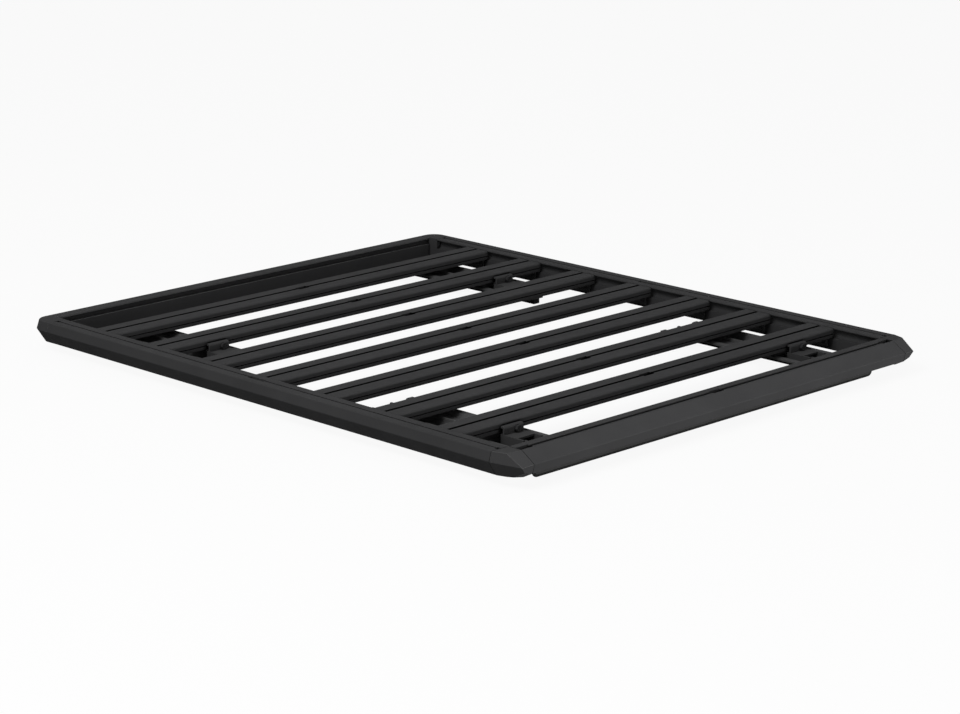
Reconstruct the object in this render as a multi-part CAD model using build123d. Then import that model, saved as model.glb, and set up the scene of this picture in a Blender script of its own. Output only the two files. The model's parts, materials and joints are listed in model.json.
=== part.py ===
from build123d import *
import os

# Flat platform roof rack. Millimetres, X forward, Y to the left, Z up from the underside of the feet.
# Every depth is measured down from the flat tops of the rails.

# Whole platform
OVERALL_LENGTH = 1500.0
OVERALL_WIDTH = 1244.5
DECK_HEIGHT = 72.0

# Side and rear rails: flat top, a face that leans out to a crease, a lower face that tucks back in
SIDE_RAIL_TOP = 46.0
REAR_RAIL_TOP = 29.0
RAIL_DEPTH = 49.5
RAIL_INNER_DEPTH = 52.0
RAIL_BULGE = 6.0
RAIL_TUCK = 12.0
CREASE_DEPTH = 20.0
RAIL_WALL = 3.0
RAIL_EDGE_RADIUS = 2.5

# Accessory slot in the top of a side rail, and the rounded recess in its inner face
SIDE_SLOT_FROM_EDGE = 23.0
SIDE_SLOT_MOUTH = 4.6
SIDE_SLOT_CAVITY = 11.0
SIDE_SLOT_LIP = 3.0
SIDE_SLOT_DEPTH = 9.5
SIDE_POCKET_LENGTH = 48.0
SIDE_END_POCKET_LENGTH = 10.0
RECESS_LIP = 3.5
RECESS_HEIGHT = 21.0
RECESS_DEPTH = 13.0
RECESS_RADIUS = 8.0

# Undercut along the inner face of the rear rail
REAR_LIP = 4.0
REAR_UNDERCUT_HEIGHT = 12.0
REAR_UNDERCUT_DEPTH = 6.0

# Front rail: flat shelf with a slot, a long slope, a chin below the crease
FRONT_SHELF = 35.0
FRONT_SLOPE_RUN = 33.0
FRONT_SLOPE_DROP = 21.5
FRONT_CHIN_SETBACK = 5.0
FRONT_CHIN_DEPTH = 40.5
FRONT_FOOT_SETBACK = 15.0
FRONT_RAIL_DEPTH = 44.5
FRONT_SLOT_FROM_EDGE = 25.0
FRONT_SLOT_MOUTH = 9.0
FRONT_SLOT_CAVITY = 17.0
FRONT_SLOT_LIP = 3.0
FRONT_SLOT_DEPTH = 10.0
FRONT_POCKET_LENGTH = 34.0

# Corner pieces: they stand off the rail ends by a fine seam and plug into the rails with spigots
CORNER_SEAM = 0.6
SPIGOT_LENGTH = 24.0
SPIGOT_CLEARANCE = 0.3
FRONT_CORNER_SHOULDER = 4.3
FRONT_CORNER_LEAN = 9.7
FRONT_CORNER_TAPER = 21.4
FRONT_CORNER_NOSE_DROP = 1.2
FRONT_CORNER_CHIN_INSET = 32.0
FRONT_CORNER_CHIN_DEPTH = 35.0
FRONT_CORNER_HEEL_SETBACK = 46.0
FRONT_CORNER_TOE_SETBACK = 34.0
REAR_CORNER_LENGTH = 62.0
REAR_CORNER_RADIUS = 33.0

# Slats across the deck, their tops a little below the rails; their slots are measured from their own tops
SLAT_COUNT = 7
SLAT_PITCH = 177.3
SLAT_MIDDLE_X = -12.7
SLAT_WIDTH = 74.0
SLAT_TOP = 1.4
SLAT_DEPTH = 22.3
SLAT_WALL = 3.0
SLAT_NOSE_RADIUS = 5.0
SLAT_FOOT_RADIUS = 1.0
SLAT_GROOVE_TOP = 12.6
SLAT_GROOVE_HEIGHT = 2.0
SLAT_GROOVE_DEPTH = 3.0
SLAT_SLOT_MOUTH = 8.5
SLAT_SLOT_CAVITY = 17.0
SLAT_SLOT_LIP = 2.0
SLAT_SLOT_DEPTH = 11.0
SLAT_POCKET_LENGTH = 30.0
SLAT_END_GAP = 1.5

# Angle brackets that hang the slat ends on the side rails
BRACKET_WIDTH = 44.0
BRACKET_REACH = 42.0
BRACKET_GAUGE = 4.0
BRACKET_DROP = 23.0
BRACKET_BEND = 3.0

# Mounting feet: pressed trays, two on each side, each below a pair of slats
FOOT_LENGTH = 420.0
TRAY_WIDTH = 122.0
TRAY_FROM_RAIL = 68.25
TRAY_LEVEL = 33.5
TRAY_GAUGE = 4.0
TRAY_INNER_FLANGE = 16.0
TRAY_OUTER_FLANGE = 12.0
TRAY_RIB_FROM_INNER = 62.0
TRAY_SHALLOW = 7.5
TRAY_DEEP = 20.5
TRAY_WALL_RUN = 4.0
PAD_WIDTH = 18.0
PAD_END_GAP = 8.0
FOOT_BOLT_HOLE = 9.0
FOOT_BOLT_SPACING = 320.0

# Clamps that stand on the trays: bent sheet with a hook on the slat's face, a sole and two side walls
CLAMP_WIDTH = 54.0
CLAMP_FROM_RIB = -5.0
CLAMP_GAUGE = 4.0
CLAMP_BEND = 5.5
CLAMP_TOP = 9.0
CLAMP_STANDOFF = 10.0
CLAMP_SOLE = 25.5
CLAMP_SOLE_REACH = 43.0
CLAMP_WALL_REACH = 62.0
CLAMP_HOLE = 6.8
CLAMP_HOLE_DEPTH = 17.8
CLAMP_HOLE_OFFSET = 9.0

# Rubber wind lip below the front rail
LIP_WIDTH = 1042.0
LIP_SETBACK = 52.5
LIP_GAUGE = 5.0
LIP_DROP = 24.9
LIP_END_RADIUS = 12.0

# Cuts run this far past the surface that they open
OVERCUT = 1.0

# Lines that several pieces share
SIDE_TOP_EDGE = OVERALL_WIDTH / 2 - RAIL_BULGE
SIDE_INNER = SIDE_TOP_EDGE - SIDE_RAIL_TOP
FRONT_CREASE = OVERALL_LENGTH / 2
FRONT_SLOPE_START = FRONT_CREASE - FRONT_SLOPE_RUN
FRONT_INNER = FRONT_SLOPE_START - FRONT_SHELF
REAR_CREASE = OVERALL_LENGTH / 2
REAR_TOP_EDGE = REAR_CREASE - RAIL_BULGE
REAR_INNER = REAR_TOP_EDGE - REAR_RAIL_TOP
REAR_SEAM = REAR_CREASE - REAR_CORNER_LENGTH
TRAY_OUTER_EDGE = SIDE_INNER - TRAY_FROM_RAIL
TRAY_INNER_EDGE = TRAY_OUTER_EDGE - TRAY_WIDTH
TRAY_RIB = TRAY_INNER_EDGE + TRAY_RIB_FROM_INNER
SLAT_X = [SLAT_MIDDLE_X + (k - (SLAT_COUNT - 1) / 2) * SLAT_PITCH for k in range(SLAT_COUNT)]


def outline(corners, radii=0.0):
    """Upright face from corners given as (across, depth below the deck)."""
    points = [(across, DECK_HEIGHT - depth) for across, depth in corners]
    return make_face(FilletPolyline(*points, radius=radii, close=True))


def window(across_low, across_high, depth_low, depth_high):
    """Upright rectangle between two positions across and two depths."""
    middle = Pos((across_low + across_high) / 2, DECK_HEIGHT - (depth_low + depth_high) / 2)
    return middle * Rectangle(across_high - across_low, depth_high - depth_low)


def top_slot(centre, mouth, cavity, lip, depth, top=0.0):
    """Undercut slot that opens upwards: a narrow mouth over a wider cavity, below a flat at one depth."""
    throat = window(centre - mouth / 2, centre + mouth / 2, top - OVERCUT, top + lip)
    return throat + window(centre - cavity / 2, centre + cavity / 2, top + lip, top + depth)


def block(x_low, x_high, y_low, y_high, depth_low, depth_high):
    """Square block between two positions on each axis, its heights given as depths."""
    middle = Pos((x_low + x_high) / 2, (y_low + y_high) / 2, DECK_HEIGHT - (depth_low + depth_high) / 2)
    return middle * Box(x_high - x_low, y_high - y_low, depth_high - depth_low)


def along_x(face, x_low, x_high):
    """Extrude an upright face, drawn across Y, from one station along X to another."""
    return extrude(Plane.YZ.offset(x_low) * face, amount=x_high - x_low)


def across_y(face, y_low, y_high):
    """Extrude an upright face, drawn along X, from one station across Y to another."""
    return extrude(Plane.XZ.offset(-y_high) * face, amount=y_high - y_low)


def mirrored_left_right(solid):
    return mirror(solid, about=Plane.XZ)


def mirrored_front_back(solid):
    return mirror(solid, about=Plane.YZ)


def rail_corners(inner, top_edge):
    """Corners of the closed rail section, from its inner top edge round to its inner foot."""
    return [
        (inner, 0),
        (top_edge, 0),
        (top_edge + RAIL_BULGE, CREASE_DEPTH),
        (top_edge - RAIL_TUCK, RAIL_DEPTH),
        (inner, RAIL_INNER_DEPTH),
    ]


def hollow(skin, wall, solid_zones):
    """The chamber inside a skin, less the zones where slots need solid walls round them."""
    chamber = offset(skin, amount=-wall, kind=Kind.INTERSECTION)
    for zone in solid_zones:
        chamber -= zone
    return chamber


def side_rail_skin():
    return outline(rail_corners(SIDE_INNER, SIDE_TOP_EDGE), RAIL_EDGE_RADIUS)


def side_rail_chamber():
    recess_back = SIDE_INNER + RECESS_DEPTH
    recess_foot = RECESS_LIP + RECESS_HEIGHT
    top_zone = window(0, OVERALL_WIDTH, 0, SIDE_SLOT_DEPTH + RAIL_WALL)
    inner_zone = window(0, recess_back + RAIL_WALL, 0, recess_foot + RAIL_WALL)
    return hollow(side_rail_skin(), RAIL_WALL, [top_zone, inner_zone])


def inner_recess():
    """Rounded recess below the inner lip of a side rail."""
    mouth = SIDE_INNER - OVERCUT
    back = SIDE_INNER + RECESS_DEPTH
    foot = RECESS_LIP + RECESS_HEIGHT
    corners = [(mouth, RECESS_LIP), (back, RECESS_LIP), (back, foot), (mouth, foot)]
    return outline(corners, [0, RECESS_RADIUS, RECESS_RADIUS, 0])


def left_side_rail():
    slot_y = SIDE_TOP_EDGE - SIDE_SLOT_FROM_EDGE
    slot = top_slot(slot_y, SIDE_SLOT_MOUTH, SIDE_SLOT_CAVITY, SIDE_SLOT_LIP, SIDE_SLOT_DEPTH)
    section = side_rail_skin() - slot - inner_recess() - side_rail_chamber()
    rail = along_x(section, -REAR_SEAM, FRONT_INNER)
    half = SIDE_SLOT_CAVITY / 2
    reach = SIDE_POCKET_LENGTH / 2
    pockets = [
        (-REAR_SEAM, SIDE_END_POCKET_LENGTH - REAR_SEAM),
        (SLAT_MIDDLE_X - reach, SLAT_MIDDLE_X + reach),
        (FRONT_INNER - SIDE_END_POCKET_LENGTH, FRONT_INNER),
    ]
    for low, high in pockets:
        rail -= block(low, high, slot_y - half, slot_y + half, -OVERCUT, SIDE_SLOT_LIP)
    return rail


def rear_rail_skin():
    return outline(rail_corners(REAR_INNER, REAR_TOP_EDGE), RAIL_EDGE_RADIUS)


def rear_rail_chamber():
    undercut_back = REAR_INNER + REAR_UNDERCUT_DEPTH
    undercut_foot = REAR_LIP + REAR_UNDERCUT_HEIGHT
    zone = window(0, undercut_back + RAIL_WALL, 0, undercut_foot + RAIL_WALL)
    return hollow(rear_rail_skin(), RAIL_WALL, [zone])


def rear_rail():
    undercut_back = REAR_INNER + REAR_UNDERCUT_DEPTH
    undercut = window(REAR_INNER - OVERCUT, undercut_back, REAR_LIP, REAR_LIP + REAR_UNDERCUT_HEIGHT)
    section = rear_rail_skin() - undercut - rear_rail_chamber()
    return mirrored_front_back(across_y(section, -SIDE_INNER, SIDE_INNER))


def front_corners():
    """Corners of the front rail section, from its inner top edge round to its inner foot."""
    return [
        (FRONT_INNER, 0),
        (FRONT_SLOPE_START, 0),
        (FRONT_CREASE, FRONT_SLOPE_DROP),
        (FRONT_CREASE - FRONT_CHIN_SETBACK, FRONT_CHIN_DEPTH),
        (FRONT_CREASE - FRONT_FOOT_SETBACK, FRONT_RAIL_DEPTH),
        (FRONT_INNER, FRONT_RAIL_DEPTH),
    ]


def front_rail_skin():
    return outline(front_corners(), RAIL_EDGE_RADIUS)


def front_rail_chamber():
    slot_side = FRONT_INNER + FRONT_SLOT_FROM_EDGE + FRONT_SLOT_CAVITY / 2
    zone = window(0, slot_side + RAIL_WALL, 0, FRONT_SLOT_DEPTH + RAIL_WALL)
    return hollow(front_rail_skin(), RAIL_WALL, [zone])


def front_rail():
    slot_x = FRONT_INNER + FRONT_SLOT_FROM_EDGE
    slot = top_slot(slot_x, FRONT_SLOT_MOUTH, FRONT_SLOT_CAVITY, FRONT_SLOT_LIP, FRONT_SLOT_DEPTH)
    section = front_rail_skin() - slot - front_rail_chamber()
    rail = across_y(section, -SIDE_INNER, SIDE_INNER)
    reach = FRONT_POCKET_LENGTH / 2
    half = FRONT_SLOT_CAVITY / 2
    for y in (-SIDE_INNER + reach, 0, SIDE_INNER - reach):
        rail -= block(slot_x - half, slot_x + half, y - reach, y + reach, -OVERCUT, FRONT_SLOT_LIP)
    return rail


def spigot_face(chamber):
    """Section of the plug on a corner piece that fits a rail's chamber."""
    return offset(chamber, amount=-SPIGOT_CLEARANCE, kind=Kind.INTERSECTION)


def at(x, y, depth):
    return Vector(x, y, DECK_HEIGHT - depth)


def moved_into(plane_points, point, direction):
    """The point moved along a direction until it lies in the plane of three others."""
    a, b, c = plane_points
    normal = (b - a).cross(c - a)
    return point + direction * ((a - point).dot(normal) / direction.dot(normal))


def front_left_corner():
    """Faceted block that carries the side rail's faces round into the slope and chin of the front rail."""
    ahead = Vector(1, 0, 0)
    leftward = Vector(0, 1, 0)
    side_end = FRONT_INNER + CORNER_SEAM
    front_end = SIDE_INNER + CORNER_SEAM
    half_width = OVERALL_WIDTH / 2
    heel_x = FRONT_CREASE - FRONT_CORNER_HEEL_SETBACK
    toe_x = FRONT_CREASE - FRONT_CORNER_TOE_SETBACK
    nose_y = half_width - FRONT_CORNER_TAPER
    nose_depth = FRONT_SLOPE_DROP + FRONT_CORNER_NOSE_DROP
    chin_y = half_width - FRONT_CORNER_CHIN_INSET

    side = [at(side_end, y, depth) for y, depth in rail_corners(front_end, SIDE_TOP_EDGE)]
    inner_top, side_top, side_crease, side_foot, inner_foot = side
    slope_top, slope_foot, chin_foot = [at(x, front_end, depth) for x, depth in front_corners()[1:4]]
    shoulder = at(FRONT_SLOPE_START - FRONT_CORNER_SHOULDER, SIDE_TOP_EDGE - FRONT_CORNER_LEAN, 0)
    nose = moved_into([slope_top, slope_foot, shoulder], at(0, nose_y, nose_depth), ahead)
    chin = moved_into([slope_foot, nose, chin_foot], at(0, chin_y, FRONT_CORNER_CHIN_DEPTH), ahead)
    heel = moved_into([side_crease, nose, side_foot], at(heel_x, 0, RAIL_DEPTH), leftward)
    toe = moved_into([nose, chin, heel], at(toe_x, 0, RAIL_DEPTH), leftward)
    toe_inner = moved_into([chin_foot, chin, toe], at(0, front_end, RAIL_INNER_DEPTH), ahead)
    flats = [
        [inner_top, side_top, shoulder, slope_top],
        side,
        [inner_top, slope_top, slope_foot, chin_foot, toe_inner, inner_foot],
        [slope_top, shoulder, nose, slope_foot],
        [side_crease, nose, heel, side_foot],
        [slope_foot, nose, chin, chin_foot],
        [nose, chin, toe, heel],
        [chin_foot, chin, toe, toe_inner],
        [inner_foot, side_foot, heel],
        [inner_foot, heel, toe_inner],
        [heel, toe, toe_inner],
    ]
    faces = [Face(Wire.make_polygon(corners)) for corners in flats]
    faces.append(Face.make_bezier_surface([[side_top, shoulder], [side_crease, nose]]))
    corner = Solid(Shell(faces))
    corner += along_x(spigot_face(side_rail_chamber()), FRONT_INNER - SPIGOT_LENGTH, side_end)
    corner += across_y(spigot_face(front_rail_chamber()), SIDE_INNER - SPIGOT_LENGTH, front_end)
    return corner


def rear_left_corner():
    """Round corner: the rail profile turned about an upright axis, with short straight ends."""
    axis_x = REAR_TOP_EDGE - REAR_CORNER_RADIUS
    axis_y = SIDE_TOP_EDGE - REAR_CORNER_RADIUS
    radii = [0, RAIL_EDGE_RADIUS, 0, 0, 0]
    turn = revolve(Plane.XZ * outline(rail_corners(0, REAR_CORNER_RADIUS), radii), Axis.Z, 90)
    corner = Pos(axis_x, axis_y, 0) * turn
    side_end = REAR_SEAM + CORNER_SEAM
    rear_end = SIDE_INNER + CORNER_SEAM
    corner += along_x(outline(rail_corners(rear_end, SIDE_TOP_EDGE), radii), side_end, axis_x)
    corner += across_y(outline(rail_corners(axis_x, REAR_TOP_EDGE), radii), rear_end, axis_y)
    corner += along_x(spigot_face(side_rail_chamber()), REAR_SEAM - SPIGOT_LENGTH, side_end)
    corner += across_y(spigot_face(rear_rail_chamber()), SIDE_INNER - SPIGOT_LENGTH, rear_end)
    return mirrored_front_back(corner)


def slat():
    """One slat about x = 0: round-nosed extrusion with an open slot along its top."""
    half = SLAT_WIDTH / 2
    groove = half - SLAT_GROOVE_DEPTH
    groove_foot = SLAT_GROOVE_TOP + SLAT_GROOVE_HEIGHT
    right = [
        (half, SLAT_TOP),
        (half, SLAT_GROOVE_TOP),
        (groove, SLAT_GROOVE_TOP),
        (groove, groove_foot),
        (half, groove_foot),
        (half, SLAT_DEPTH),
    ]
    left = [(-across, depth) for across, depth in reversed(right)]
    right_radii = [SLAT_NOSE_RADIUS, 0, 0, 0, 0, SLAT_FOOT_RADIUS]
    skin = outline(right + left, right_radii + right_radii[::-1])
    slot = top_slot(0, SLAT_SLOT_MOUTH, SLAT_SLOT_CAVITY, SLAT_SLOT_LIP, SLAT_SLOT_DEPTH, SLAT_TOP)
    chamber_low = SLAT_SLOT_CAVITY / 2 + SLAT_WALL
    chamber = window(chamber_low, groove - SLAT_WALL, SLAT_TOP + SLAT_WALL, SLAT_DEPTH - SLAT_WALL)
    section = skin - slot - chamber - mirror(chamber, about=Plane.YZ)
    end = SIDE_INNER - SLAT_END_GAP
    bar = across_y(section, -end, end)
    reach = SLAT_POCKET_LENGTH / 2
    pocket = SLAT_SLOT_CAVITY / 2
    return bar - block(-pocket, pocket, -reach, reach, SLAT_TOP - OVERCUT, SLAT_TOP + SLAT_SLOT_LIP)


def left_slat_brackets():
    """Angles below the slat ends: one leg under the slat, the other on the rail's inner face."""
    low = SIDE_INNER - BRACKET_REACH
    leg = SIDE_INNER - BRACKET_GAUGE
    plate_foot = SLAT_DEPTH + BRACKET_GAUGE
    foot = SLAT_DEPTH + BRACKET_DROP
    corners = [
        (low, SLAT_DEPTH),
        (SIDE_INNER, SLAT_DEPTH),
        (SIDE_INNER, foot),
        (leg, foot),
        (leg, plate_foot),
        (low, plate_foot),
    ]
    angle = outline(corners, [0, 0, 0, 0, BRACKET_BEND, 0])
    half = BRACKET_WIDTH / 2
    return Compound(children=[along_x(angle, x - half, x + half) for x in SLAT_X])


def bent_sheet(path, gauge):
    """Corners of a bent sheet whose upper skin follows a path of (across, depth), with mitred bends."""
    steps = [Vector(*b) - Vector(*a) for a, b in zip(path, path[1:])]
    downs = [Vector(-step.Y, step.X).normalized() for step in steps]
    lower = []
    for point, before, after in zip(path, downs[:1] + downs, downs + downs[-1:]):
        lower.append(Vector(*point) + (before + after) * (gauge / (1 + before.dot(after))))
    return list(path) + [(corner.X, corner.Y) for corner in reversed(lower)]


def tray_path():
    """Upper skin of the tray: inner flange, shallow trough, deep trough, outer flange."""
    shallow_floor = TRAY_LEVEL + TRAY_SHALLOW
    deep_floor = TRAY_LEVEL + TRAY_DEEP
    flange_end = TRAY_INNER_EDGE + TRAY_INNER_FLANGE
    flange_start = TRAY_OUTER_EDGE - TRAY_OUTER_FLANGE
    return [
        (TRAY_INNER_EDGE, TRAY_LEVEL),
        (flange_end, TRAY_LEVEL),
        (flange_end + TRAY_SHALLOW, shallow_floor),
        (TRAY_RIB, shallow_floor),
        (TRAY_RIB + TRAY_WALL_RUN, deep_floor),
        (flange_start - TRAY_WALL_RUN, deep_floor),
        (flange_start, TRAY_LEVEL),
        (TRAY_OUTER_EDGE, TRAY_LEVEL),
    ]


def foot_bolt_stations(middle):
    return [middle - FOOT_BOLT_SPACING / 2, middle + FOOT_BOLT_SPACING / 2]


def pad_middle():
    """Middle of the pad across the tray, at the outer end of the deep trough's floor."""
    return TRAY_OUTER_EDGE - TRAY_OUTER_FLANGE - TRAY_WALL_RUN - PAD_WIDTH / 2


def bolt_hole(x, y, diameter):
    return Pos(x, y, DECK_HEIGHT / 2) * Cylinder(diameter / 2, DECK_HEIGHT)


def left_foot_tray(middle):
    half_gauge = TRAY_GAUGE / 2
    section = outline(bent_sheet(tray_path(), TRAY_GAUGE))
    rib_foot = TRAY_LEVEL + TRAY_SHALLOW + half_gauge
    section += window(TRAY_RIB - TRAY_GAUGE, TRAY_RIB, TRAY_LEVEL, rib_foot)
    tray = along_x(section, middle - FOOT_LENGTH / 2, middle + FOOT_LENGTH / 2)
    for x in foot_bolt_stations(middle):
        tray -= bolt_hole(x, pad_middle(), FOOT_BOLT_HOLE)
    return tray


def left_foot_pad(middle):
    """Rubber strip between the floor of the deep trough and the roof."""
    reach = FOOT_LENGTH / 2 - PAD_END_GAP
    half = PAD_WIDTH / 2
    floor = TRAY_LEVEL + TRAY_DEEP + TRAY_GAUGE
    y = pad_middle()
    pad = block(middle - reach, middle + reach, y - half, y + half, floor, DECK_HEIGHT)
    for x in foot_bolt_stations(middle):
        pad -= bolt_hole(x, y, FOOT_BOLT_HOLE)
    return pad


def clamp(face_x, direction, side):
    """Bent-sheet clamp: hook on one slat face, sole, and side walls down to the two trough floors."""
    middle = TRAY_RIB + CLAMP_FROM_RIB
    low = middle - CLAMP_WIDTH / 2
    high = middle + CLAMP_WIDTH / 2
    sheet = bent_sheet([
        (0, CLAMP_TOP),
        (CLAMP_STANDOFF, CLAMP_TOP),
        (CLAMP_STANDOFF, CLAMP_SOLE),
        (CLAMP_SOLE_REACH, CLAMP_SOLE),
    ], CLAMP_GAUGE)
    body = across_y(outline(sheet, [0, CLAMP_BEND, 0, 0, 0, CLAMP_BEND, 0, 0]), low, high)
    shallow_floor = TRAY_LEVEL + TRAY_SHALLOW
    deep_floor = TRAY_LEVEL + TRAY_DEEP
    body += block(0, CLAMP_WALL_REACH, low, low + CLAMP_GAUGE, CLAMP_SOLE, shallow_floor)
    body += block(0, CLAMP_WALL_REACH, high - CLAMP_GAUGE, high, CLAMP_SOLE, deep_floor)
    hole_y = middle + side * CLAMP_HOLE_OFFSET
    drill = Pos(CLAMP_STANDOFF, hole_y, DECK_HEIGHT - CLAMP_HOLE_DEPTH) * Rot(0, 90, 0)
    body -= drill * Cylinder(CLAMP_HOLE / 2, 2 * CLAMP_STANDOFF)
    if direction < 0:
        body = mirrored_front_back(body)
    if side < 0:
        body = mirrored_left_right(body)
    return Pos(face_x, 0, 0) * body


def wind_lip():
    """Blade below the front rail with rounded lower ends."""
    half = LIP_WIDTH / 2
    foot = FRONT_RAIL_DEPTH + LIP_DROP
    face = outline(
        [(-half, FRONT_RAIL_DEPTH), (half, FRONT_RAIL_DEPTH), (half, foot), (-half, foot)],
        [0, 0, LIP_END_RADIUS, LIP_END_RADIUS],
    )
    middle = FRONT_CREASE - LIP_SETBACK
    return along_x(face, middle - LIP_GAUGE / 2, middle + LIP_GAUGE / 2)


def foot_pieces():
    """The four feet: each takes the pair of slats at its end of the deck."""
    pieces = {}
    for end, pair in (("front", SLAT_X[-2:]), ("rear", SLAT_X[:2])):
        middle = sum(pair) / 2
        tray = left_foot_tray(middle)
        pad = left_foot_pad(middle)
        for hand, side in (("left", 1), ("right", -1)):
            grips = [
                clamp(pair[0] - SLAT_WIDTH / 2, -1, side),
                clamp(pair[1] + SLAT_WIDTH / 2, 1, side),
            ]
            pieces[f"{end}_{hand}_foot_tray"] = tray if side > 0 else mirrored_left_right(tray)
            pieces[f"{end}_{hand}_foot_pad"] = pad if side > 0 else mirrored_left_right(pad)
            pieces[f"{end}_{hand}_slat_clamps"] = Compound(children=grips)
    return pieces


def platform_pieces():
    side = left_side_rail()
    front_corner = front_left_corner()
    rear_corner = rear_left_corner()
    brackets = left_slat_brackets()
    pieces = {
        "front_rail": front_rail(),
        "rear_rail": rear_rail(),
        "left_side_rail": side,
        "right_side_rail": mirrored_left_right(side),
        "front_left_corner": front_corner,
        "front_right_corner": mirrored_left_right(front_corner),
        "rear_left_corner": rear_corner,
        "rear_right_corner": mirrored_left_right(rear_corner),
        "left_slat_brackets": brackets,
        "right_slat_brackets": mirrored_left_right(brackets),
        "wind_lip": wind_lip(),
    }
    bar = slat()
    for number, x in enumerate(SLAT_X, start=1):
        pieces[f"slat_{number}"] = Pos(x, 0, 0) * bar
    return pieces


os.makedirs("parts", exist_ok=True)
for name, piece in {**platform_pieces(), **foot_pieces()}.items():
    export_step(piece, f"parts/{name}.step")
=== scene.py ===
import json
import math

import bpy
from mathutils import Matrix, Vector


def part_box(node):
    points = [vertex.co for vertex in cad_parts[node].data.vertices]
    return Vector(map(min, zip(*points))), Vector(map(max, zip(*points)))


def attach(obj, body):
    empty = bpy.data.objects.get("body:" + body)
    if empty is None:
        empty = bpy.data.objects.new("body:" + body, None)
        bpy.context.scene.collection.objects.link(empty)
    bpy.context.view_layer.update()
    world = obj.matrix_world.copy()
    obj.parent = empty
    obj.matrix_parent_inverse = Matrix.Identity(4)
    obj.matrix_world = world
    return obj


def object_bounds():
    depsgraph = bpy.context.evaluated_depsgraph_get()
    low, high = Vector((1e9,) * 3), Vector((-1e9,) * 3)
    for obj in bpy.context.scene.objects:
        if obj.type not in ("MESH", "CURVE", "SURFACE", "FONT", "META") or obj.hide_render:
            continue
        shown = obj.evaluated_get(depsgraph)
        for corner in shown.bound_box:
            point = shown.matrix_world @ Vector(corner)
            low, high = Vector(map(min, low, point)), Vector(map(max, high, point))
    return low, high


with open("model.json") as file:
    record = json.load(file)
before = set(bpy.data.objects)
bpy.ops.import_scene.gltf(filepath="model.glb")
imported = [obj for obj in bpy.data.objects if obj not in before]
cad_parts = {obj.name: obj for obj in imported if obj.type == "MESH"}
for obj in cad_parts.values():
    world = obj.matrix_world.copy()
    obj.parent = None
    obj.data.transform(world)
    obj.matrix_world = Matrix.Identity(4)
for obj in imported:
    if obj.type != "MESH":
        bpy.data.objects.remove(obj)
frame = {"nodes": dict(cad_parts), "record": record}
cad_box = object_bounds()

# Camera of the photograph: 45 degrees round from the front, 15 degrees down, image 960 by 714
CAMERA_PLACE = (4.30417, -4.26075, 1.6310)
CAMERA_PITCH = 15.0
CAMERA_AZIMUTH = 45.057
FOCAL_PIXELS = 2873.0
IMAGE_WIDTH = 960
SENSOR_WIDTH = 36.0
VIEW_REACH = 200.0

# Lamps, all aimed at the origin: place and panel size in metres, power in watts
LAMPS = {
    "side": {"place": (0.6, -3.4, 4.0), "width": 3.0, "height": 2.0, "watts": 155.0},
    "near_front": {"place": (4.4, -2.6, 0.8), "width": 3.0, "height": 0.8, "watts": 37.0},
    "low_front": {"place": (3.6, 0.9, 0.13), "width": 4.0, "height": 0.2, "watts": 98.0},
}
WHITE = (1.0, 1.0, 1.0, 1.0)
WORLD_LIGHT = 0.35
WORLD_SEEN = 1.0

# Floor: its colour as seen, the darker one that it throws back, and the share of it that glows white
FLOOR_COLOUR = (0.80, 0.80, 0.80, 1.0)
FLOOR_BOUNCE = (0.18, 0.18, 0.18, 1.0)
FLOOR_GLOW = 0.92
FLOOR_LEVEL = -0.0005
FLOOR_HALF = 30.0

# Clamp bolts, in metres: seat in the hook, then washer, hexagon head and the dish in its top
CLAMP_STANDOFF = 0.010
CLAMP_BOLT_DEPTH = 0.0178
CLAMP_BOLT_OFFSET = 0.009
WASHER_RADIUS = 0.0085
WASHER_HEIGHT = 0.0015
WASHER_BREAK = 0.0002
HEAD_RADIUS = 0.0079
HEAD_TOP = 0.0071
HEAD_CHAMFER_IN = 0.0006
HEAD_CHAMFER_DOWN = 0.0005
DISH_RADIUS = 0.0055
DISH_FLOOR_RADIUS = 0.0048
DISH_DEPTH = 0.0005

# Bracket screws, in metres: places on the bracket, then the low head and the socket in it
BRACKET_GAUGE = 0.004
BRACKET_SCREW_REACH = 0.014
BRACKET_SCREW_SPREAD = 0.012
BRACKET_SCREW_DROP = 0.010
SCREW_RADIUS = 0.0052
SCREW_SIDE = 0.0004
SCREW_SHOULDER_RADIUS = 0.0047
SCREW_SHOULDER = 0.0008
SCREW_RIM_RADIUS = 0.0030
SCREW_TOP = 0.0009
SOCKET_RADIUS = 0.0023
SOCKET_FLOOR_RADIUS = 0.0022
SOCKET_FLOOR = 0.0002

# Bead along the lower edge of the wind lip, in metres
LIP_END_RADIUS = 0.012
BEAD_RADIUS = 0.0034
BEAD_INSET = 0.0022
BEAD_TURN_STEPS = 8

# Points round each ring of a fastener or the bead, and the number of slats
RING_POINTS = 24
SLAT_COUNT = 7

# Widths of the band round the outside where edges get a painted highlight, in metres
HIGHLIGHT_BAND_ENDS = 0.035
HIGHLIGHT_BAND_SIDES = 0.019
HIGHLIGHT_BAND_FADE = 0.004

# Agreement of the rounded and the true normal at which an edge's painted highlight starts, and is full
EDGE_STARTS = 0.998
EDGE_FULL = 0.9

# Dark seam between a rail and a front corner moulding: half its width, in metres, and its depth of tone
SEAM_HALF = 0.0011
SEAM_TONE = 0.8

# Noise: the range that it mostly keeps to, then the scale, detail and effect of each use
NOISE_LOW = 0.3
NOISE_HIGH = 0.7
CLOUD_SCALE = 9.0
CLOUD_DETAIL = 4.0
CLOUD_SHARE = (0.1, 0.6)
GRAIN_DETAIL = 2.0
GRAIN_SHARE = (-0.1, 0.4)
GLOSS_SCALE = 35.0
GLOSS_DETAIL = 3.0
GLOSS_CHANGE = 0.05
GRAIN_STRENGTH = 0.35

BEVEL_SAMPLES = 6
PAINTED_SHADE_SAMPLES = 8
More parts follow.
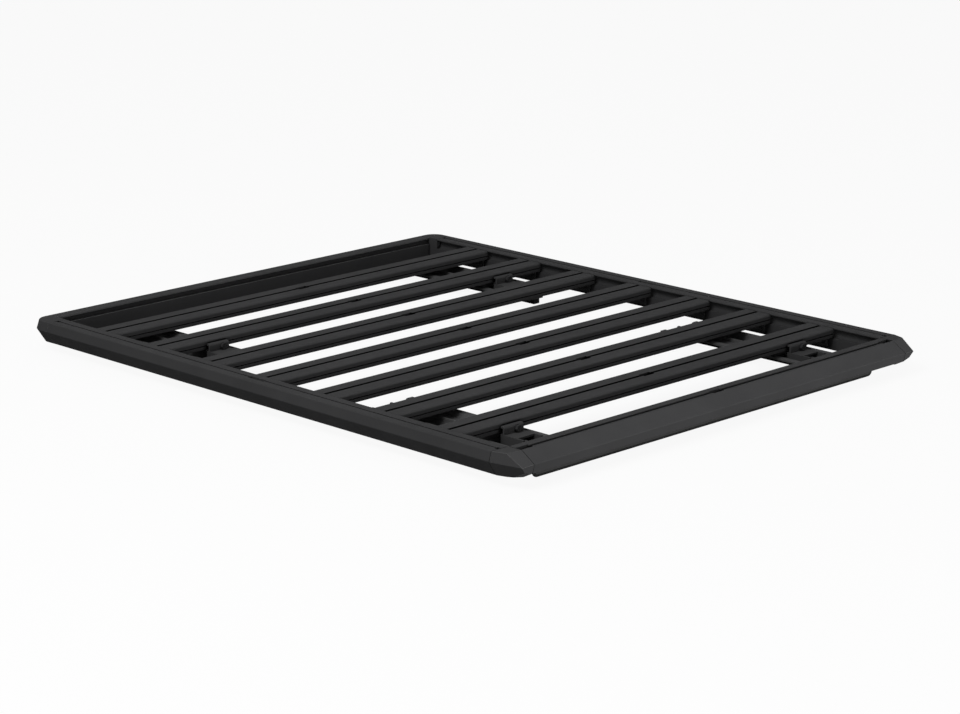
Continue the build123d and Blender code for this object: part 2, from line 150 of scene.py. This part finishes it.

# Linear colours: the dark and light tones of each finish, and the tone of the painted highlight on its
# edges
COAT_DARK = (0.036, 0.036, 0.037, 1.0)
COAT_LIGHT = (0.047, 0.047, 0.048, 1.0)
COAT_HIGHLIGHT = (0.170, 0.170, 0.172, 1.0)
PLASTIC_DARK = (0.037, 0.037, 0.038, 1.0)
PLASTIC_LIGHT = (0.048, 0.048, 0.049, 1.0)
PLASTIC_HIGHLIGHT = (0.100, 0.100, 0.101, 1.0)
LIP_DARK = (0.034, 0.034, 0.034, 1.0)
LIP_LIGHT = (0.044, 0.044, 0.044, 1.0)
LIP_HIGHLIGHT = (0.050, 0.050, 0.050, 1.0)
STEEL_DARK = (0.040, 0.040, 0.041, 1.0)
STEEL_LIGHT = (0.052, 0.052, 0.053, 1.0)
STEEL_HIGHLIGHT = (0.110, 0.110, 0.112, 1.0)
# Painted light: lighter copies of the steel tones, for the trays and brackets that lie in shade
PAINTED_LIT_STEEL_DARK = (0.066, 0.066, 0.067, 1.0)
PAINTED_LIT_STEEL_LIGHT = (0.084, 0.084, 0.085, 1.0)
PAINTED_LIT_STEEL_HIGHLIGHT = (0.130, 0.130, 0.132, 1.0)
RUBBER_DARK = (0.014, 0.014, 0.014, 1.0)
RUBBER_LIGHT = (0.022, 0.022, 0.022, 1.0)
RUBBER_HIGHLIGHT = (0.030, 0.030, 0.030, 1.0)
ZINC_DARK = (0.022, 0.022, 0.023, 1.0)
ZINC_LIGHT = (0.034, 0.034, 0.035, 1.0)
ZINC_HIGHLIGHT = (0.070, 0.070, 0.072, 1.0)
# Black for painted shade in crevices, and for the dark seams at the front corner mouldings
SEAM_AND_SHADE_BLACK = (0.002, 0.002, 0.002, 1.0)


def noise(tree, place, scale, detail):
    """Cloudy value that changes through space."""
    node = tree.nodes.new("ShaderNodeTexNoise")
    node.inputs["Scale"].default_value = scale
    node.inputs["Detail"].default_value = detail
    tree.links.new(place, node.inputs["Vector"])
    return node.outputs["Fac"]


def spread(tree, value, from_low, from_high, low, high):
    """Maps one range of a value onto another, held at both ends."""
    node = tree.nodes.new("ShaderNodeMapRange")
    node.inputs["From Min"].default_value = from_low
    node.inputs["From Max"].default_value = from_high
    node.inputs["To Min"].default_value = low
    node.inputs["To Max"].default_value = high
    tree.links.new(value, node.inputs["Value"])
    return node.outputs["Result"]


def maths(tree, operation, *values):
    """Result of a maths operation on one or two values."""
    node = tree.nodes.new("ShaderNodeMath")
    node.operation = operation
    for value, socket in zip(values, node.inputs):
        tree.links.new(value, socket)
    return node.outputs["Value"]


def mixed(tree, factor, low, high):
    """Colour between two, each a colour or another node's output."""
    node = tree.nodes.new("ShaderNodeMix")
    node.data_type = "RGBA"
    tree.links.new(factor, node.inputs["Factor"])
    for socket, colour in ((node.inputs["A"], low), (node.inputs["B"], high)):
        if isinstance(colour, tuple):
            socket.default_value = colour
        else:
            tree.links.new(colour, socket)
    return node.outputs["Result"]


def mixed_shader(tree, factor, low, high):
    """Shader between two others."""
    node = tree.nodes.new("ShaderNodeMixShader")
    for value, socket in zip((factor, low, high), node.inputs):
        tree.links.new(value, socket)
    return node.outputs["Shader"]


def axes(tree, place):
    """The X, Y and Z of a place."""
    node = tree.nodes.new("ShaderNodeSeparateXYZ")
    tree.links.new(place, node.inputs["Vector"])
    return node.outputs


def outside_band(tree, place):
    """1 in a band round the platform's outside, where edges get a painted highlight, and 0 within it."""
    split = axes(tree, place)
    bands = []
    for axis, reach, width in (("X", cad_box[1][0], HIGHLIGHT_BAND_ENDS), ("Y", cad_box[1][1], HIGHLIGHT_BAND_SIDES)):
        from_middle = maths(tree, "ABSOLUTE", split[axis])
        bands.append(spread(tree, from_middle, reach - width - HIGHLIGHT_BAND_FADE, reach - width, 0.0, 1.0))
    return maths(tree, "MAXIMUM", *bands)


def near_plane(tree, value, plane):
    """Strong within half a seam's width of a plane, and 0 beyond it."""
    before = spread(tree, value, plane - SEAM_HALF, plane - SEAM_HALF / 2, 0.0, SEAM_TONE)
    after = spread(tree, value, plane + SEAM_HALF, plane + SEAM_HALF / 2, 0.0, SEAM_TONE)
    return maths(tree, "MINIMUM", before, after)


def seams(tree, place):
    """Lines where the front and side rails end on the front corner mouldings."""
    split = axes(tree, place)
    x = split["X"]
    y = maths(tree, "ABSOLUTE", split["Y"])
    side_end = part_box("right_side_rail")[1][0]
    rail_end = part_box("front_rail")[1][1]
    past_side = spread(tree, x, side_end, side_end + SEAM_HALF, 0.0, 1.0)
    past_rail = spread(tree, y, rail_end, rail_end + SEAM_HALF, 0.0, 1.0)
    front_seam = maths(tree, "MULTIPLY", near_plane(tree, y, rail_end), past_side)
    side_seam = maths(tree, "MULTIPLY", near_plane(tree, x, side_end), past_rail)
    return maths(tree, "MAXIMUM", front_seam, side_seam)


def rounded_normal(tree, radius):
    """Normal that turns round each edge as if the edge had this radius."""
    node = tree.nodes.new("ShaderNodeBevel")
    node.samples = BEVEL_SAMPLES
    node.inputs["Radius"].default_value = radius
    return node.outputs["Normal"]


def painted_edge_highlight(tree, place, rounded):
    """Painted highlight: 1 on the outside's edges, where the rounded normal leaves the true one, and 0 on
    flat faces.
    """
    facing = tree.nodes.new("ShaderNodeVectorMath")
    facing.operation = "DOT_PRODUCT"
    tree.links.new(rounded, facing.inputs[0])
    tree.links.new(tree.nodes.new("ShaderNodeNewGeometry").outputs["Normal"], facing.inputs[1])
    turned = spread(tree, facing.outputs["Value"], EDGE_STARTS, EDGE_FULL, 0.0, 1.0)
    return maths(tree, "MULTIPLY", turned, outside_band(tree, place))


def painted_shade_openness(tree, reach, closed, clear):
    """Painted shade: 0 in crevices, where the tone is painted black as shade, and 1 in the open, judged
    within a reach.
    """
    node = tree.nodes.new("ShaderNodeAmbientOcclusion")
    node.samples = PAINTED_SHADE_SAMPLES
    node.inputs["Distance"].default_value = reach
    return spread(tree, node.outputs["AO"], closed, clear, 0.0, 1.0)


def coat(
    name, dark, light, edge, *,
    roughness, grain, grain_depth, bevel, reach, closed, clear, specular=0.01,
):
    """Black finish: fine grain, cloudy tone and gloss, a painted highlight that lightens the outside's
    edges to the edge tone, and painted shade that darkens crevices.

    The grain is a noise scale, with its depth in metres. Bevel is the radius of the softened edges, and
    reach the distance within which crevices are looked for, both in metres. Crevices get painted shade: a
    place is painted black where its ambient occlusion is at most closed, and has its full tone from clear
    on.
    """
    material = bpy.data.materials.new(name)
    material.use_nodes = True
    tree = material.node_tree
    shader = tree.nodes["Principled BSDF"]
    shader.inputs["Specular IOR Level"].default_value = specular
    place = tree.nodes.new("ShaderNodeTexCoord").outputs["Object"]

    cloud = spread(tree, noise(tree, place, CLOUD_SCALE, CLOUD_DETAIL), NOISE_LOW, NOISE_HIGH, *CLOUD_SHARE)
    speck = noise(tree, place, grain, GRAIN_DETAIL)
    blend = maths(tree, "ADD", cloud, spread(tree, speck, NOISE_LOW, NOISE_HIGH, *GRAIN_SHARE))
    tone = mixed(tree, blend, dark, light)
    rounded = rounded_normal(tree, bevel)
    # Painted highlight: edges round the outside are lightened to the edge tone
    tone = mixed(tree, painted_edge_highlight(tree, place, rounded), tone, edge)
    tone = mixed(tree, seams(tree, place), tone, SEAM_AND_SHADE_BLACK)
    # Painted shade: crevices are darkened to black
    tone = mixed(tree, painted_shade_openness(tree, reach, closed, clear), SEAM_AND_SHADE_BLACK, tone)
    tree.links.new(tone, shader.inputs["Base Color"])

    sheen = noise(tree, place, GLOSS_SCALE, GLOSS_DETAIL)
    gloss = spread(tree, sheen, NOISE_LOW, NOISE_HIGH, roughness - GLOSS_CHANGE, roughness + GLOSS_CHANGE)
    tree.links.new(gloss, shader.inputs["Roughness"])

    bump = tree.nodes.new("ShaderNodeBump")
    bump.inputs["Strength"].default_value = GRAIN_STRENGTH
    bump.inputs["Distance"].default_value = grain_depth
    tree.links.new(speck, bump.inputs["Height"])
    tree.links.new(rounded, bump.inputs["Normal"])
    tree.links.new(bump.outputs["Normal"], shader.inputs["Normal"])
    return material


RAIL_COAT = coat(
    "powder_coat", COAT_DARK, COAT_LIGHT, COAT_HIGHLIGHT,
    roughness=0.65, grain=1400.0, grain_depth=0.00012, bevel=0.0011, reach=0.008, closed=0.4, clear=0.85,
)
# Same powder coat as the rails, with stronger painted shade in the slats' slots and a smaller bevel
SLAT_COAT = coat(
    "slat_powder_coat", COAT_DARK, COAT_LIGHT, COAT_HIGHLIGHT,
    roughness=0.65, grain=1400.0, grain_depth=0.00012, bevel=0.0006, reach=0.016, closed=0.7, clear=0.96,
)
PLASTIC = coat(
    "corner_moulding", PLASTIC_DARK, PLASTIC_LIGHT, PLASTIC_HIGHLIGHT,
    roughness=0.65, grain=900.0, grain_depth=0.0002, bevel=0.0014, reach=0.008, closed=0.35, clear=0.85,
)
STEEL = coat(
    "foot_powder_coat", STEEL_DARK, STEEL_LIGHT, STEEL_HIGHLIGHT,
    roughness=0.65, grain=1100.0, grain_depth=0.00018, bevel=0.0008, reach=0.006, closed=0.15, clear=0.75,
)
# Painted light: a lighter copy of the foot steel, with weaker painted shade in its crevices
PAINTED_LIT_STEEL = coat(
    "foot_powder_coat_painted_light", PAINTED_LIT_STEEL_DARK, PAINTED_LIT_STEEL_LIGHT, PAINTED_LIT_STEEL_HIGHLIGHT,
    roughness=0.65, grain=1100.0, grain_depth=0.00018, bevel=0.0008, reach=0.005, closed=0.0, clear=0.6,
)
RUBBER = coat(
    "rubber", RUBBER_DARK, RUBBER_LIGHT, RUBBER_HIGHLIGHT,
    roughness=0.8, grain=600.0, grain_depth=0.0002, bevel=0.0010, reach=0.008, closed=0.35, clear=0.85,
)
LIP = coat(
    "lip_moulding", LIP_DARK, LIP_LIGHT, LIP_HIGHLIGHT,
    roughness=0.75, grain=600.0, grain_depth=0.0002, bevel=0.0008, reach=0.008, closed=0.35, clear=0.85,
)
ZINC = coat(
    "black_zinc", ZINC_DARK, ZINC_LIGHT, ZINC_HIGHLIGHT,
    roughness=0.5, grain=700.0, grain_depth=0.0001, bevel=0.0003, reach=0.003, closed=0.2, clear=0.8,
    specular=0.03,
)

SLOT_MATERIALS = {
    "rail_coat": RAIL_COAT,
    "slat_coat": SLAT_COAT,
    "corner_plastic": PLASTIC,
    "foot_coat": STEEL,
    "pad_rubber": RUBBER,
    "lip_rubber": LIP,
}


def finish_nodes():
    """Gives each node its finish. Trays and brackets share a slot with the clamps, but get a lighter copy
    of its finish, painted light for places that lie in shade.
    """
    for row in frame["record"]["subparts"]:
        node = frame["nodes"][row["node"]]
        bent_sheet = row["node"].endswith(("_foot_tray", "_slat_brackets"))
        node.data.materials.clear()
        node.data.materials.append(PAINTED_LIT_STEEL if bent_sheet else SLOT_MATERIALS[row["material_slot"]])


def round_ring(radius):
    """Points round a circle."""
    step = 2 * math.pi / RING_POINTS
    return [(radius * math.cos(k * step), radius * math.sin(k * step)) for k in range(RING_POINTS)]


def hex_ring(radius):
    """Points round a hexagon of this corner radius."""
    points = []
    for k in range(RING_POINTS):
        angle = 2 * math.pi * k / RING_POINTS
        from_flat = angle % (math.pi / 3) - math.pi / 6
        reach = radius * math.cos(math.pi / 6) / math.cos(from_flat)
        points.append((reach * math.cos(angle), reach * math.sin(angle)))
    return points


def hex_bolt_rings():
    """Flat washer and hexagon head with a chamfered, dished top: rings from the seat up, with heights."""
    return [
        (round_ring(WASHER_RADIUS - WASHER_BREAK / 2), 0.0),
        (round_ring(WASHER_RADIUS), WASHER_BREAK),
        (round_ring(WASHER_RADIUS), WASHER_HEIGHT - WASHER_BREAK),
        (round_ring(WASHER_RADIUS - WASHER_BREAK), WASHER_HEIGHT),
        (hex_ring(HEAD_RADIUS), WASHER_HEIGHT),
        (hex_ring(HEAD_RADIUS), HEAD_TOP - HEAD_CHAMFER_DOWN),
        (hex_ring(HEAD_RADIUS - HEAD_CHAMFER_IN), HEAD_TOP),
        (round_ring(DISH_RADIUS), HEAD_TOP),
        (round_ring(DISH_FLOOR_RADIUS), HEAD_TOP - DISH_DEPTH),
    ]


def flat_screw_rings():
    """Low head with a hexagon socket: rings from the seat up, with heights."""
    return [
        (round_ring(SCREW_RADIUS), 0.0),
        (round_ring(SCREW_RADIUS), SCREW_SIDE),
        (round_ring(SCREW_SHOULDER_RADIUS), SCREW_SHOULDER),
        (round_ring(SCREW_RIM_RADIUS), SCREW_TOP),
        (hex_ring(SOCKET_RADIUS), SCREW_SHOULDER),
        (hex_ring(SOCKET_FLOOR_RADIUS), SOCKET_FLOOR),
    ]


def closed_skin(start, ring_count):
    """Faces over a row of rings whose points are numbered from a start, with both ends closed."""
    faces = []
    for ring in range(ring_count - 1):
        for k in range(RING_POINTS):
            a = start + ring * RING_POINTS + k
            b = start + ring * RING_POINTS + (k + 1) % RING_POINTS
            faces.append((a, b, b + RING_POINTS, a + RING_POINTS))
    last = start + (ring_count - 1) * RING_POINTS
    faces.append(tuple(range(last, last + RING_POINTS)))
    faces.append(tuple(range(start + RING_POINTS - 1, start - 1, -1)))
    return faces


def add_piece(name, vertices, faces, material):
    """Puts a mesh on the platform under a name, with its finish."""
    mesh = bpy.data.meshes.new(name)
    mesh.from_pydata(vertices, [], faces)
    mesh.materials.append(material)
    piece = bpy.data.objects.new(name, mesh)
    bpy.context.scene.collection.objects.link(piece)
    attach(piece, "root")


def fasteners(name, rings, places):
    """One mesh of like fasteners. Each place is a seat point and the direction that the head faces."""
    vertices = []
    faces = []
    for seat, direction in places:
        stand = Matrix.Translation(seat) @ Vector(direction).to_track_quat("Z", "Y").to_matrix().to_4x4()
        faces += closed_skin(len(vertices), len(rings))
        for points, height in rings:
            vertices += [stand @ Vector((x, y, height)) for x, y in points]
    add_piece(name, vertices, faces, ZINC)


def clamp_bolts():
    """A bolt through the hook of each clamp, all a little to the left of the clamp's middle."""
    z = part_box("front_rail")[1][2] - CLAMP_BOLT_DEPTH
    for end, rear_slat, front_slat in (("front", "slat_6", "slat_7"), ("rear", "slat_1", "slat_2")):
        rear_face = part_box(rear_slat)[0][0] - CLAMP_STANDOFF
        front_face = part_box(front_slat)[1][0] + CLAMP_STANDOFF
        for hand in ("left", "right"):
            low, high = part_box(f"{end}_{hand}_slat_clamps")
            y = (low[1] + high[1]) / 2 + CLAMP_BOLT_OFFSET
            fasteners(f"{end}_{hand}_clamp_bolts", hex_bolt_rings(), [
                ((rear_face, y, z), (-1, 0, 0)),
                ((front_face, y, z), (1, 0, 0)),
            ])


def bracket_screws():
    """Two screws up into each slat end and two into the side rail, one set for each bracket."""
    for hand, side in (("left", 1), ("right", -1)):
        low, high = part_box(f"{hand}_slat_brackets")
        tip = min(low[1], high[1], key=abs)
        rail = max(low[1], high[1], key=abs)
        slat_y = tip + side * BRACKET_SCREW_REACH
        slat_z = high[2] - BRACKET_GAUGE
        rail_y = rail - side * BRACKET_GAUGE
        rail_z = low[2] + BRACKET_SCREW_DROP
        places = []
        for number in range(1, SLAT_COUNT + 1):
            slat_low, slat_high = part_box(f"slat_{number}")
            middle = (slat_low[0] + slat_high[0]) / 2
            for x in (middle - BRACKET_SCREW_SPREAD, middle + BRACKET_SCREW_SPREAD):
                places.append(((x, slat_y, slat_z), (0, 0, -1)))
                places.append(((x, rail_y, rail_z), (0, -side, 0)))
        fasteners(f"{hand}_bracket_screws", flat_screw_rings(), places)


def lip_bead():
    """Round bead along the lower edge of the wind lip and up its rounded ends."""
    low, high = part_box("wind_lip")
    middle = (low[0] + high[0]) / 2
    end = high[1] - LIP_END_RADIUS
    quarter = [math.pi / 2 * k / BEAD_TURN_STEPS for k in range(BEAD_TURN_STEPS + 1)]
    stations = [(-end, -angle) for angle in reversed(quarter)] + [(end, angle) for angle in quarter]
    vertices = []
    for y, angle in stations:
        outward = Vector((0, math.sin(angle), -math.cos(angle)))
        centre = Vector((middle, y, low[2] + LIP_END_RADIUS)) + (LIP_END_RADIUS - BEAD_INSET) * outward
        for across, out in round_ring(BEAD_RADIUS):
            vertices.append(centre + Vector((across, 0, 0)) + out * outward)
    add_piece("lip_bead", vertices, closed_skin(0, len(stations)), RUBBER)


def background_rays(tree):
    """1 for rays that should see the plain white ground: from the camera, or by way of gloss or glass."""
    path = tree.nodes.new("ShaderNodeLightPath").outputs
    seen = maths(tree, "MAXIMUM", path["Is Camera Ray"], path["Is Glossy Ray"])
    return maths(tree, "MAXIMUM", seen, path["Is Transmission Ray"])


def sky():
    """Even soft light from all round, seen as plain white."""
    world = bpy.data.worlds.new("studio")
    bpy.context.scene.world = world
    world.use_nodes = True
    tree = world.node_tree
    light = tree.nodes["Background"]
    ground = tree.nodes.new("ShaderNodeBackground")
    for node, strength in ((light, WORLD_LIGHT), (ground, WORLD_SEEN)):
        node.inputs["Color"].default_value = WHITE
        node.inputs["Strength"].default_value = strength
    seen = background_rays(tree)
    surface = mixed_shader(tree, seen, light.outputs["Background"], ground.outputs["Background"])
    tree.links.new(surface, tree.nodes["World Output"].inputs["Surface"])


def lamp(name, place, width, height, watts):
    """Soft panel of light, aimed at the origin."""
    data = bpy.data.lights.new(name, "AREA")
    data.shape = "RECTANGLE"
    data.size = width
    data.size_y = height
    data.energy = watts
    panel = bpy.data.objects.new(name, data)
    panel.location = place
    panel.rotation_euler = (-Vector(place)).to_track_quat("-Z", "Y").to_euler()
    bpy.context.scene.collection.objects.link(panel)


def floor_paint():
    """Near-white ground that keeps a faint shadow and throws little light back at the part."""
    paint = bpy.data.materials.new("floor")
    paint.use_nodes = True
    tree = paint.node_tree
    tree.nodes.remove(tree.nodes["Principled BSDF"])
    seen = background_rays(tree)
    diffuse = tree.nodes.new("ShaderNodeBsdfDiffuse")
    tree.links.new(mixed(tree, seen, FLOOR_BOUNCE, FLOOR_COLOUR), diffuse.inputs["Color"])
    glow = tree.nodes.new("ShaderNodeEmission").outputs["Emission"]
    share = spread(tree, seen, 0.0, 1.0, 0.0, FLOOR_GLOW)
    surface = mixed_shader(tree, share, diffuse.outputs["BSDF"], glow)
    tree.links.new(surface, tree.nodes["Material Output"].inputs["Surface"])
    return paint


def floor():
    """Wide flat ground just below the pads."""
    mesh = bpy.data.meshes.new("floor")
    quarters = ((-1, -1), (1, -1), (1, 1), (-1, 1))
    corners = [(x * FLOOR_HALF, y * FLOOR_HALF, FLOOR_LEVEL) for x, y in quarters]
    mesh.from_pydata(corners, [], [(0, 1, 2, 3)])
    mesh.materials.append(floor_paint())
    ground = bpy.data.objects.new("floor", mesh)
    bpy.context.scene.collection.objects.link(ground)


def photo_camera():
    """Camera at the photograph's viewing angle and distance."""
    data = bpy.data.cameras.new("camera")
    data.sensor_fit = "HORIZONTAL"
    data.sensor_width = SENSOR_WIDTH
    data.lens = FOCAL_PIXELS * SENSOR_WIDTH / IMAGE_WIDTH
    data.clip_end = VIEW_REACH
    camera = bpy.data.objects.new("camera", data)
    camera.location = CAMERA_PLACE
    camera.rotation_euler = (math.radians(90.0 - CAMERA_PITCH), 0.0, math.radians(CAMERA_AZIMUTH))
    bpy.context.scene.collection.objects.link(camera)
    bpy.context.scene.camera = camera


finish_nodes()
clamp_bolts()
bracket_screws()
lip_bead()
sky()
for lamp_name, lamp_values in LAMPS.items():
    lamp(lamp_name, **lamp_values)
floor()
photo_camera()
bpy.context.scene.view_settings.view_transform = "Standard"
